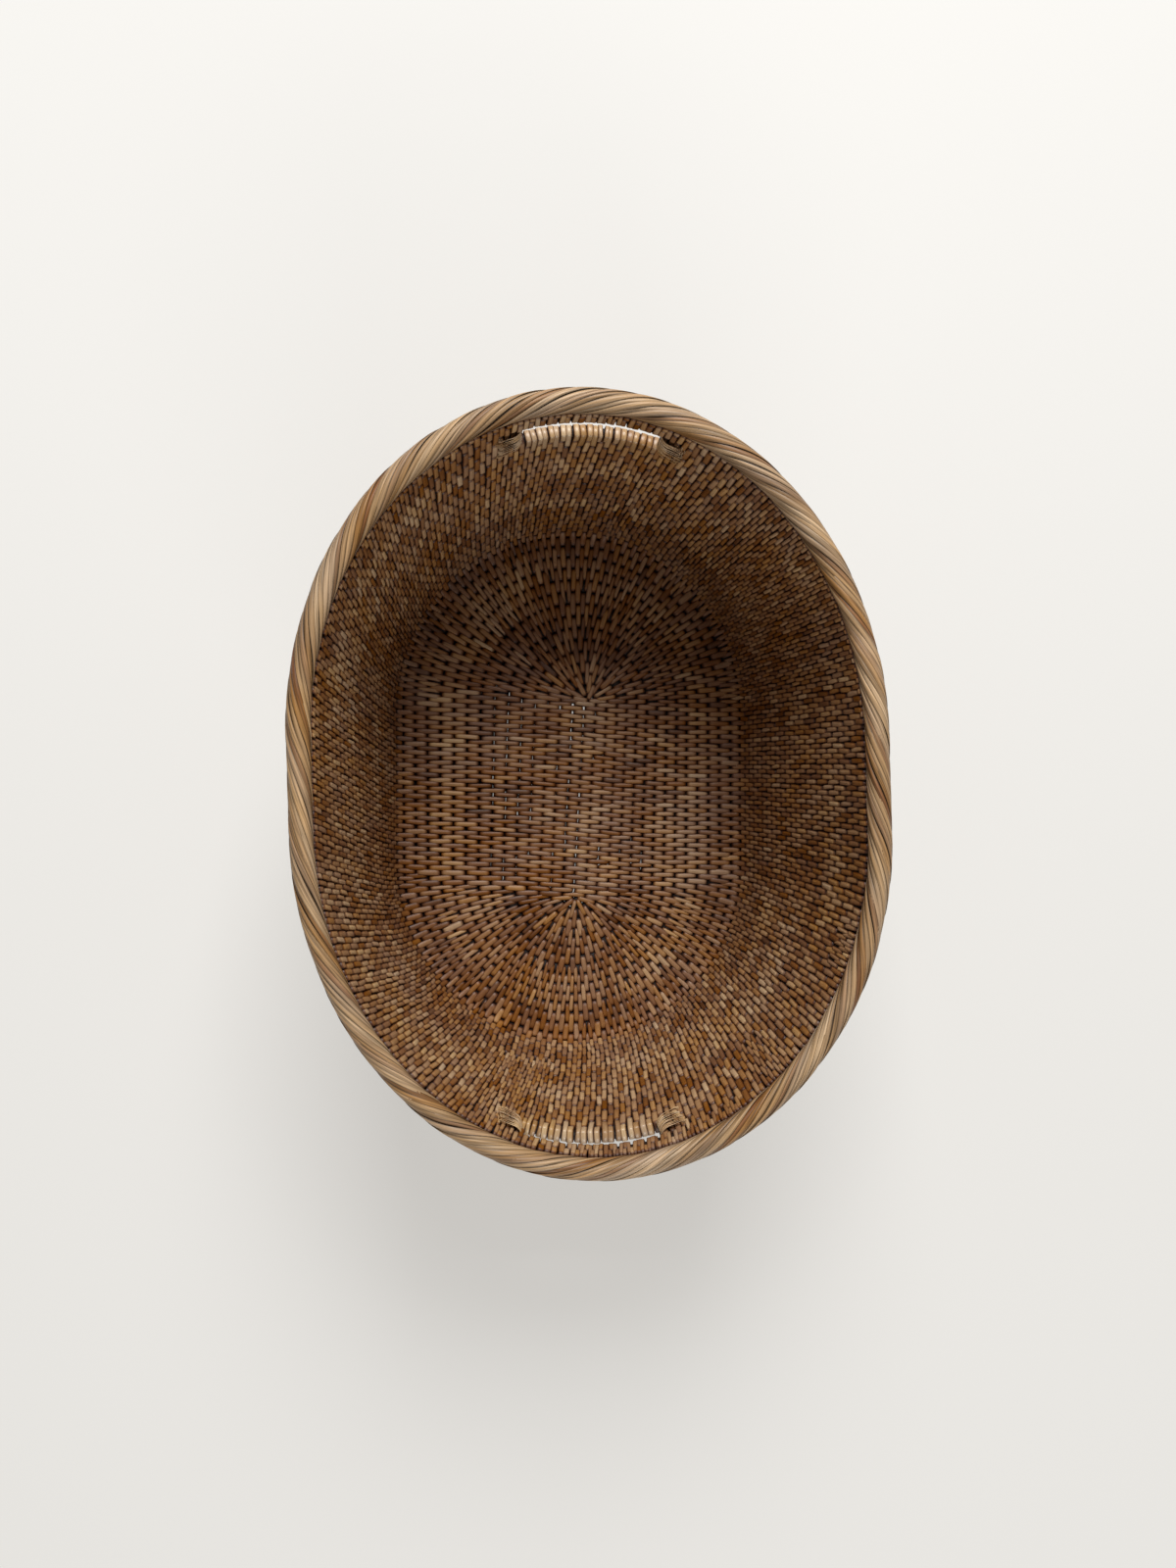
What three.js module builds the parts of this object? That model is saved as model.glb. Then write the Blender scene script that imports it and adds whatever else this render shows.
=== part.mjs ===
// An oval coiled rattan basket with a hand slot at each end and a wrapped rim.
// Millimetres, +Z up. The origin is on the ground under the middle of the basket. +Y runs along its length.
// One long coil of rattan rod starts round a straight line in the middle of the floor, winds outwards, turns
// the corner and climbs the wall. It is spliced from rods laid end to end. Each rod here has the thickness of
// the rod together with the thin strips that lash it to the turn below.
import * as THREE from "three";

// Floor, measured to the middle of the rods
const CORE_HALF_LENGTH = 85; // straight line that the coil starts round, either side of the middle
const FLOOR_HALF_WIDTH = 141; // flat part of the floor, where the bend into the wall begins
const FLOOR_HALF_LENGTH = 211;

// Wall, measured to the middle of the rods
const CORNER_RADIUS = 12; // bend between floor and wall
const WALL_HEIGHT = 237; // floor to the wall's top edge
const TOP_HALF_WIDTH = 189; // at the wall's top edge
const TOP_HALF_LENGTH = 252;
const TOP_STRAIGHT_HALF = 33; // half of the straight stretch of each side, at the top edge

// Coil
const COIL_TURNS = 38; // whole turns from the middle of the floor to the rim, counted at the rear slot
const COIL_THICKNESS = 10.4; // through the wall, rod and strips
const COIL_GAP = 0.4; // between neighbouring turns
const COIL_RODS = 15; // equally long rods, spliced end to end from the middle to the first hand slot
const FLOOR_RODS = 3; // of these, the ones that make the floor; the next one turns the corner
const SPLICE_GAP = 0.4; // between the ends of two rods
const THINNEST_END = 3; // the last rod is pared down to this under the rim

// Hand slots, one at each end of the basket
const SLOT_LENGTH = 97;
const SLOT_TURNS = 2; // turns of the coil that the slot interrupts
const TURNS_ABOVE_SLOT = 1; // at the rear slot; the front one has half a turn more
const BINDING_LENGTH = 15; // how far a slot's end binding reaches along the wall
const BINDING_THICKNESS = 1.6; // of the strips over the ends and the lower edge of a slot
const BINDING_CLEARANCE = 0.3;
const EDGE_WRAP_TURNS = 2; // turns below a slot that its edge wrap covers

// Rim
const RIM_DIAMETER = 17;
const RIM_CORE_DIAMETER = 11;
const RIM_OUTSET = 4; // the rim lies this far outside the middle of the wall
const RIM_CLEARANCE = 0.3; // rim core to wrap, and wrap to the wall's top edge
const WRAP_OPENING = THREE.MathUtils.degToRad(20); // the wrap is open this far each side of its underside

// How finely a turn is divided
const CAP_STEPS = 5; // from the end of a straight side to the binding beside a slot
const WRAP_STEPS = 10; // round the outside of the rim wrap
const CORE_SIDES = 8;
const SAME_PLACE_SHARE = 0.0002; // places closer than this share of a turn count as one

// Shares of one turn, which runs clockwise seen from above: right side, front end, left side, rear end
const STRAIGHT_SHARE = 0.1;
const END_SHARE = 0.5 - STRAIGHT_SHARE;
const FRONT_SHARE = STRAIGHT_SHARE + END_SHARE / 2; // middle of the front end
const REAR_SHARE = FRONT_SHARE + 0.5; // middle of the rear end

// Profile of the basket along one side: flat floor, round bend, leaning wall. A place on it is the length
// along it from the middle of the floor.
const bendCentre = new THREE.Vector2(FLOOR_HALF_WIDTH, CORNER_RADIUS);
const topFromBend = new THREE.Vector2(TOP_HALF_WIDTH, WALL_HEIGHT).sub(bendCentre);
const WALL_LENGTH = Math.sqrt(topFromBend.lengthSq() - CORNER_RADIUS ** 2);
const LEAN = Math.atan2(topFromBend.x, topFromBend.y) - Math.atan2(CORNER_RADIUS, WALL_LENGTH);
const BEND_ANGLE = Math.PI / 2 - LEAN;
const BEND_LENGTH = CORNER_RADIUS * BEND_ANGLE;
const TOP_EDGE = FLOOR_HALF_WIDTH + BEND_LENGTH + WALL_LENGTH; // length of the whole profile
const TURNS = COIL_TURNS + REAR_SHARE - 0.5;
const COIL_PITCH = TOP_EDGE / TURNS; // from one turn to the next

// Half-width, height and slope of the profile at a length along it
function profile(along) {
  const bent = THREE.MathUtils.clamp((along - FLOOR_HALF_WIDTH) / CORNER_RADIUS, 0, BEND_ANGLE);
  const floor = Math.min(along, FLOOR_HALF_WIDTH);
  const wall = Math.max(along - FLOOR_HALF_WIDTH - BEND_LENGTH, 0);
  return {
    halfWidth: floor + CORNER_RADIUS * Math.sin(bent) + wall * Math.cos(bent),
    height: CORNER_RADIUS * (1 - Math.cos(bent)) + wall * Math.sin(bent),
    slope: bent,
  };
}

// Half-length of the oval that goes with a half-width
function halfLengthAt(halfWidth) {
  const onFloor = (FLOOR_HALF_LENGTH - CORE_HALF_LENGTH) / FLOOR_HALF_WIDTH;
  const onWall = (TOP_HALF_LENGTH - FLOOR_HALF_LENGTH) / (TOP_HALF_WIDTH - FLOOR_HALF_WIDTH);
  const beyond = Math.max(halfWidth - FLOOR_HALF_WIDTH, 0);
  return CORE_HALF_LENGTH + Math.min(halfWidth, FLOOR_HALF_WIDTH) * onFloor + beyond * onWall;
}

// Place on a unit oval at a share of a turn: across, round the end, and along the straight side
function ovalPlace(share) {
  const turn = share - Math.floor(share);
  const half = turn < 0.5 ? 1 : -1; // right side and front end, then left side and rear end
  const inHalf = turn < 0.5 ? turn : turn - 0.5;
  if (inHalf < STRAIGHT_SHARE) {
    return { across: half, end: 0, straight: half * (1 - (2 * inHalf) / STRAIGHT_SHARE) };
  }
  const angle = (Math.PI * (inHalf - STRAIGHT_SHARE)) / END_SHARE;
  return { across: half * Math.cos(angle), end: -half * Math.sin(angle), straight: -half };
}

// A point of the basket: share of a turn, length along the profile, and distance inwards from the middle of
// the rods
function basketPoint(share, along, inwards = 0) {
  const { halfWidth, height, slope } = profile(along);
  const halfLength = halfLengthAt(halfWidth);
  const narrowing = (TOP_STRAIGHT_HALF - CORE_HALF_LENGTH) / TOP_EDGE;
  const straightHalf = CORE_HALF_LENGTH + narrowing * along;
  const place = ovalPlace(share);
  const x = halfWidth * place.across;
  const y = straightHalf * place.straight + (halfLength - straightHalf) * place.end;
  const outward = new THREE.Vector2(place.across * (halfLength - straightHalf), place.end * halfWidth);
  outward.normalize();
  const level = inwards * Math.sin(slope);
  return new THREE.Vector3(
    x - outward.x * level,
    y - outward.y * level,
    COIL_THICKNESS / 2 + height + inwards * Math.cos(slope),
  );
}

// Share of a turn that goes with a distance along it, near a slot
const slotAlong = TOP_EDGE - COIL_PITCH * (TURNS_ABOVE_SLOT + SLOT_TURNS / 2);
function shareFromSlotMiddle(distance) {
  const across = distance / profile(slotAlong).halfWidth;
  return (Math.asin(across) / Math.PI) * END_SHARE;
}
const SLOT_EDGE = shareFromSlotMiddle(SLOT_LENGTH / 2);
const CUT_END = shareFromSlotMiddle(SLOT_LENGTH / 2 + BINDING_THICKNESS + BINDING_CLEARANCE);
const BINDING_END = shareFromSlotMiddle(SLOT_LENGTH / 2 + BINDING_LENGTH);

// Places along a turn where every rod has a section, so that neighbouring turns have parallel faces
function turnStations() {
  const stations = [];
  for (const [sideStart, middle] of [
    [0, FRONT_SHARE],
    [0.5, REAR_SHARE],
  ]) {
    const capStart = sideStart + STRAIGHT_SHARE;
    const capEnd = sideStart + 0.5;
    stations.push(sideStart);
    for (let i = 0; i < CAP_STEPS; i++) {
      stations.push(THREE.MathUtils.lerp(capStart, middle - BINDING_END, i / CAP_STEPS));
    }
    stations.push(middle - BINDING_END, middle - CUT_END, middle, middle + CUT_END);
    for (let i = 0; i < CAP_STEPS; i++) {
      stations.push(THREE.MathUtils.lerp(middle + BINDING_END, capEnd, i / CAP_STEPS));
    }
  }
  return stations;
}
const STATIONS = turnStations();

// A ring of points anywhere along the coil. Between two stations it lies on the straight faces there.
function onFaces(turns, ringAt) {
  const turn = Math.floor(turns);
  const stations = [...STATIONS, 1].map((station) => turn + station);
  const after = stations.findIndex((station) => station > turns);
  const [from, to] = [stations[after - 1], stations[after]];
  const end = ringAt(to);
  return ringAt(from).map((point, i) => point.lerp(end[i], (turns - from) / (to - from)));
}

// Joins rings of points into one closed mesh. Open sweeps get flat ends, closed ones meet themselves.
function sweep(rings, closed) {
  const sides = rings[0].length;
  const positions = rings.flat().flatMap((point) => point.toArray());
  const index = [];
  const joints = closed ? rings.length : rings.length - 1;
  for (let r = 0; r < joints; r++) {
    const here = r * sides;
    const next = ((r + 1) % rings.length) * sides;
    for (let i = 0; i < sides; i++) {
      const j = (i + 1) % sides;
      index.push(here + i, next + i, next + j, here + i, next + j, here + j);
    }
  }
  if (!closed) {
    const flat = THREE.ShapeUtils.triangulateShape(sectionOutline(rings[0]), []);
    const last = (rings.length - 1) * sides;
    for (const [a, b, c] of flat) {
      index.push(a, b, c, last + a, last + c, last + b);
    }
  }
  const geometry = new THREE.BufferGeometry();
  geometry.setAttribute("position", new THREE.Float32BufferAttribute(positions, 3));
  geometry.setIndex(index);
  return facingOut(geometry);
}

// A ring's points in its own plane, for filling the end of a sweep
function sectionOutline(ring) {
  const origin = ring[0];
  const first = ring[1].clone().sub(origin).normalize();
  const normal = new THREE.Vector3();
  for (let i = 1; i < ring.length - 1; i++) {
    normal.add(ring[i].clone().sub(origin).cross(ring[i + 1].clone().sub(origin)));
  }
  const second = normal.normalize().clone().cross(first);
  return ring.map((point) => {
    const from = point.clone().sub(origin);
    return new THREE.Vector2(from.dot(first), from.dot(second));
  });
}

// Turns a closed mesh's faces outwards if they point in
function facingOut(geometry) {
  const at = geometry.getAttribute("position");
  const index = geometry.getIndex().array;
  let volume = 0;
  for (let i = 0; i < index.length; i += 3) {
    const [a, b, c] = [0, 1, 2].map((k) => new THREE.Vector3().fromBufferAttribute(at, index[i + k]));
    volume += a.dot(b.cross(c));
  }
  if (volume < 0) {
    for (let i = 0; i < index.length; i += 3) {
      [index[i + 1], index[i + 2]] = [index[i + 2], index[i + 1]];
    }
  }
  geometry.computeVertexNormals();
  return geometry;
}

// Six-sided section of a rod at a station, given in turns from the start of the coil
function stationSection(turns) {
  const low = Math.max(turns - 0.5, 0) * COIL_PITCH + COIL_GAP / 2;
  const high = Math.min((turns + 0.5) * COIL_PITCH, TOP_EDGE) - COIL_GAP / 2;
  const width = high - low;
  const half = (COIL_THICKNESS / 2) * Math.min(1, width / (COIL_PITCH - COIL_GAP));
  const corners = [
    [low, 0],
    [low + width / 4, half],
    [high - width / 4, half],
    [high, 0],
    [high - width / 4, -half],
    [low + width / 4, -half],
  ];
  return corners.map(([along, inwards]) => basketPoint(turns, along, inwards));
}

// Section of a rod anywhere along the coil
const rodSection = (turns) => onFaces(turns, stationSection);

// Rod from one place on the coil to another, both counted in turns
function rod(from, to) {
  const between = [];
  for (let turn = Math.floor(from); turn <= Math.floor(to); turn++) {
    for (const station of STATIONS) {
      between.push(turn + station);
    }
  }
  const inside = between.filter((at) => at > from + SAME_PLACE_SHARE && at < to - SAME_PLACE_SHARE);
  return sweep([from, ...inside, to].map(rodSection), false);
}

// Length of the coil between two places on it
function coilLength(from, to) {
  const steps = Math.max(1, Math.ceil((to - from) * STATIONS.length));
  let length = 0;
  let last = basketPoint(from, from * COIL_PITCH);
  for (let i = 1; i <= steps; i++) {
    const at = THREE.MathUtils.lerp(from, to, i / steps);
    const next = basketPoint(at, at * COIL_PITCH);
    length += last.distanceTo(next);
    last = next;
  }
  return length;
}

// Splits a stretch of the coil into equally long rods, with a small gap at each splice
function spliced(from, to, rods) {
  const each = coilLength(from, to) / rods;
  const pieces = [];
  let start = from;
  for (let i = 0; i < rods; i++) {
    let end = to;
    if (i < rods - 1) {
      let [near, far] = [start, to];
      while (far - near > SAME_PLACE_SHARE) {
        const middle = (near + far) / 2;
        if (coilLength(start, middle) < each) near = middle;
        else far = middle;
      }
      end = near;
    }
    const gap = (SPLICE_GAP / each) * (end - start);
    pieces.push([i ? start + gap : start, end]);
    start = end;
  }
  return pieces;
}

const rodMaterial = new THREE.MeshStandardMaterial({ color: 0x9c7448, roughness: 0.6, metalness: 0 });
const rimMaterial = new THREE.MeshStandardMaterial({ color: 0xb98f5e, roughness: 0.5, metalness: 0 });
const coreMaterial = new THREE.MeshStandardMaterial({ color: 0xa98458, roughness: 0.7, metalness: 0 });
const bindingMaterial = new THREE.MeshStandardMaterial({ color: 0xb08858, roughness: 0.5, metalness: 0 });

const basket = new THREE.Group();
function add(name, geometry, material) {
  const mesh = new THREE.Mesh(geometry, material);
  mesh.name = name;
  basket.add(mesh);
}

// The coil. The slots cut the turns that pass them, so the stretches between the slots are rods of their own.
const firstCut = COIL_TURNS - TURNS_ABOVE_SLOT - SLOT_TURNS;
const cuts = [];
for (let turn = firstCut; turn < firstCut + SLOT_TURNS; turn++) {
  cuts.push(turn + FRONT_SHARE, turn + REAR_SHARE);
}
const lastTurn = TURNS + 0.5 - THINNEST_END / COIL_PITCH;

function mainCoil() {
  spliced(0, cuts[0] - CUT_END, COIL_RODS).forEach(([from, to], i) => {
    let name = "corner_coil_rod";
    if (i < FLOOR_RODS) name = `floor_coil_rod_${i + 1}`;
    if (i > FLOOR_RODS) name = `wall_coil_rod_${i - FLOOR_RODS}`;
    add(name, rod(from, to), rodMaterial);
  });
}

function slotCoils() {
  for (let i = 0; i < cuts.length - 1; i++) {
    const side = i % 2 ? "right" : "left";
    const geometry = rod(cuts[i] + CUT_END, cuts[i + 1] - CUT_END);
    add(`slot_coil_rod_${side}_${Math.floor(i / 2) + 1}`, geometry, rodMaterial);
  }
  add("top_coil_rod", rod(cuts[cuts.length - 1] + CUT_END, lastTurn), rodMaterial);
}

// Point of a piece at a slot. Such a piece climbs with the coil.
function besideSlot(middle, turns, along, inwards) {
  return basketPoint(turns, along + COIL_PITCH * (turns - middle), inwards);
}

// U-shaped binding over the rod ends at one end of a slot
function slotBinding(middle, side) {
  const low = (firstCut - 0.5 + middle) * COIL_PITCH + COIL_GAP / 2;
  const high = low + SLOT_TURNS * COIL_PITCH - COIL_GAP;
  const inner = COIL_THICKNESS / 2 + BINDING_CLEARANCE;
  const outer = inner + BINDING_THICKNESS;
  const lip = shareFromSlotMiddle(SLOT_LENGTH / 2 + BINDING_THICKNESS);
  const outline = [
    [SLOT_EDGE, -outer],
    [BINDING_END, -outer],
    [BINDING_END, -inner],
    [lip, -inner],
    [lip, inner],
    [BINDING_END, inner],
    [BINDING_END, outer],
    [SLOT_EDGE, outer],
  ];
  const rings = [low, (low + high) / 2, high].map((along) =>
    outline.flatMap(([share, inwards]) =>
      onFaces(middle + side * share, (turns) => [besideSlot(middle, turns, along, inwards)]),
    ),
  );
  return sweep(rings, false);
}

// Saddle of strips wrapped over the lower edge of a slot
function edgeWrap(middle) {
  const edge = (firstCut - 0.5 + middle) * COIL_PITCH + COIL_GAP / 2;
  const foot = edge - EDGE_WRAP_TURNS * COIL_PITCH;
  const inner = COIL_THICKNESS / 2 + BINDING_CLEARANCE;
  const outer = inner + BINDING_THICKNESS;
  const outline = [
    [foot, -outer],
    [edge + BINDING_THICKNESS, -outer],
    [edge + BINDING_THICKNESS, outer],
    [foot, outer],
    [foot, inner],
    [edge, inner],
    [edge, -inner],
    [foot, -inner],
  ];
  const ringAt = (turns) => outline.map(([along, inwards]) => besideSlot(middle, turns, along, inwards));
  const end = shareFromSlotMiddle(SLOT_LENGTH / 2 - BINDING_CLEARANCE);
  return sweep(
    [-end, 0, end].map((share) => onFaces(middle + share, ringAt)),
    false,
  );
}

function slotStrips() {
  for (const [end, middle] of [
    ["front", FRONT_SHARE],
    ["rear", REAR_SHARE],
  ]) {
    // the coil runs clockwise, from right to left at the front and from left to right at the rear
    const sides = end === "front" ? ["right", "left"] : ["left", "right"];
    add(`slot_binding_${end}_${sides[0]}`, slotBinding(middle, -1), bindingMaterial);
    add(`slot_binding_${end}_${sides[1]}`, slotBinding(middle, 1), bindingMaterial);
    add(`slot_edge_wrap_${end}`, edgeWrap(middle), bindingMaterial);
  }
}

// Rim: a round core rod in an open sleeve of wrapping strips. It rests on the ridge of the wall's top edge.
// Places on its outlines are counted from its own middle.
const ridgeToRim = RIM_DIAMETER / 2 + RIM_CLEARANCE;
const rimAlong = TOP_EDGE - COIL_GAP / 2 + Math.sqrt(ridgeToRim ** 2 - RIM_OUTSET ** 2);
function ringOf(outline) {
  return sweep(
    STATIONS.map((share) =>
      outline.map(([along, inwards]) => basketPoint(share, rimAlong + along, inwards - RIM_OUTSET)),
    ),
    true,
  );
}

function rimCore() {
  const outline = [];
  for (let i = 0; i < CORE_SIDES; i++) {
    const angle = (2 * Math.PI * i) / CORE_SIDES;
    outline.push([(RIM_CORE_DIAMETER / 2) * Math.cos(angle), (RIM_CORE_DIAMETER / 2) * Math.sin(angle)]);
  }
  return ringOf(outline);
}

function rimWrap() {
  const outside = [];
  const inside = [];
  const sweepAngle = 2 * (Math.PI - WRAP_OPENING);
  const faceAngle = sweepAngle / WRAP_STEPS;
  const innerRadius = (RIM_CORE_DIAMETER / 2 + RIM_CLEARANCE) / Math.cos(faceAngle / 2);
  for (let i = 0; i <= WRAP_STEPS; i++) {
    const angle = -sweepAngle / 2 + i * faceAngle;
    outside.push([(RIM_DIAMETER / 2) * Math.cos(angle), (RIM_DIAMETER / 2) * Math.sin(angle)]);
    inside.unshift([innerRadius * Math.cos(angle), innerRadius * Math.sin(angle)]);
  }
  return ringOf([...outside, ...inside]);
}

mainCoil();
slotCoils();
slotStrips();
add("rim_core_rod", rimCore(), coreMaterial);
add("rim_wrap", rimWrap(), rimMaterial);

export default basket;
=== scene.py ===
"""Oval basket of coiled rattan, with a hand slot at each end and a thick wrapped rim.

Metres, +Z up. The origin is on the ground under the middle of the basket, and +Y runs along its length. The
basket is one long coil of rattan rod. A place on it is given by turns of the coil, a length along the
profile from the middle of the floor, and a distance inwards from the middle of the rods.
"""

import logging
import math
from collections.abc import Callable, Iterable
from dataclasses import dataclass, field
from enum import Enum
from functools import cached_property, partial

import bpy
import numpy as np
from mathutils import Matrix, Vector


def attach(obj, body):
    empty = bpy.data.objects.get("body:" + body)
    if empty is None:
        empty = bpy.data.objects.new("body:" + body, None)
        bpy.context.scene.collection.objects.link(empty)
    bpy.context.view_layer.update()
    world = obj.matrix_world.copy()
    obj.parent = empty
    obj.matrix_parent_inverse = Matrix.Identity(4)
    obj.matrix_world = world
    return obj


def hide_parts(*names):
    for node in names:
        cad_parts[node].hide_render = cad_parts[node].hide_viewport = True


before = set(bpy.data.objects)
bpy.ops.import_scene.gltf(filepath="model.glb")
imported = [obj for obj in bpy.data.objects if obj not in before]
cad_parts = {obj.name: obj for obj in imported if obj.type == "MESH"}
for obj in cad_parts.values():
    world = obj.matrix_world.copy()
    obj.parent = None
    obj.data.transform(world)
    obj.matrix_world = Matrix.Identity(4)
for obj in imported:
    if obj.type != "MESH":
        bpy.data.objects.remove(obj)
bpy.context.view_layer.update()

MM = 0.001
TINY = 1e-9
LOG = logging.getLogger("basket")

Array = np.ndarray
Material = bpy.types.Material
Mesh = bpy.types.Mesh
Node = bpy.types.Node
NodeAdder = Callable[..., Node]
Piece = bpy.types.Object
Socket = bpy.types.NodeSocket


class End(Enum):
    """The two ends of the basket, each with its hand slot. The value is the slot's place in a turn."""

    FRONT = 0.3
    REAR = 0.8


def linear(colour: str) -> tuple[float, float, float, float]:
    """Turns an sRGB colour into the linear one that shaders use.

    Args:
        colour: Six hex digits.

    Returns:
        Red, green, blue and an alpha of 1.
    """
    shares = [int(colour[i : i + 2], 16) / 255 for i in (0, 2, 4)]
    parts = [c / 12.92 if c <= 0.04045 else ((c + 0.055) / 1.055) ** 2.4 for c in shares]
    return (*parts, 1.0)


def add_node(
    tree: bpy.types.NodeTree, kind: str, feeds: dict[int | str, object] | Iterable = (), **settings: object
) -> Node:
    """Adds a node to a tree.

    Args:
        tree: The tree that gets the node.
        kind: The node's type.
        feeds: For each input, in order or by name or number, its value, or the node or output that feeds it.
        settings: The node's own properties.

    Returns:
        The new node.
    """
    node = tree.nodes.new(kind)
    for name, value in settings.items():
        setattr(node, name, value)
    for key, value in feeds.items() if isinstance(feeds, dict) else enumerate(feeds):
        if isinstance(value, Node):
            value = next(output for output in value.outputs if output.enabled)
        if isinstance(value, Socket):
            tree.links.new(value, node.inputs[key])
        else:
            node.inputs[key].default_value = value
    return node


def add_object(name: str, data: bpy.types.ID) -> Piece:
    """Makes an object and puts it in the scene.

    Args:
        name: The object's name.
        data: What it shows.

    Returns:
        The new object.
    """
    made = bpy.data.objects.new(name, data)
    bpy.context.collection.objects.link(made)
    return made


def plain_mesh(
    name: str, points: Array, edges: Array | tuple = (), faces: Array | tuple = (), **attributes: Array
) -> Mesh:
    """Makes a mesh with attributes on its points.

    Args:
        name: The mesh's name.
        points: One row of x, y and z for each point.
        edges: Pairs of point numbers.
        faces: Point numbers of each face.
        attributes: One number or one vector for each point.

    Returns:
        The new mesh.
    """
    mesh = bpy.data.meshes.new(name)
    mesh.from_pydata(points, edges, faces)
    for label, values in attributes.items():
        values = np.asarray(values, dtype=np.float32)
        kind, key = ("FLOAT", "value") if values.ndim == 1 else ("FLOAT_VECTOR", "vector")
        mesh.attributes.new(label, kind, "POINT").data.foreach_set(key, values.ravel())
    return mesh


def run_along(points: Array) -> Array:
    """Length along a line at each of its points."""
    return np.concatenate([[0.0], np.cumsum(np.linalg.norm(np.diff(points, axis=0), axis=1))])


def unit(vectors: Array) -> Array:
    """The same directions with a length of 1."""
    return vectors / np.maximum(np.linalg.norm(vectors, axis=-1, keepdims=True), TINY)


def wave(share: Array, waves: int, shift: float) -> Array:
    """A number of even waves round the basket, shifted by a share of one wave."""
    return np.sin(2 * math.pi * (waves * share + shift))


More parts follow.
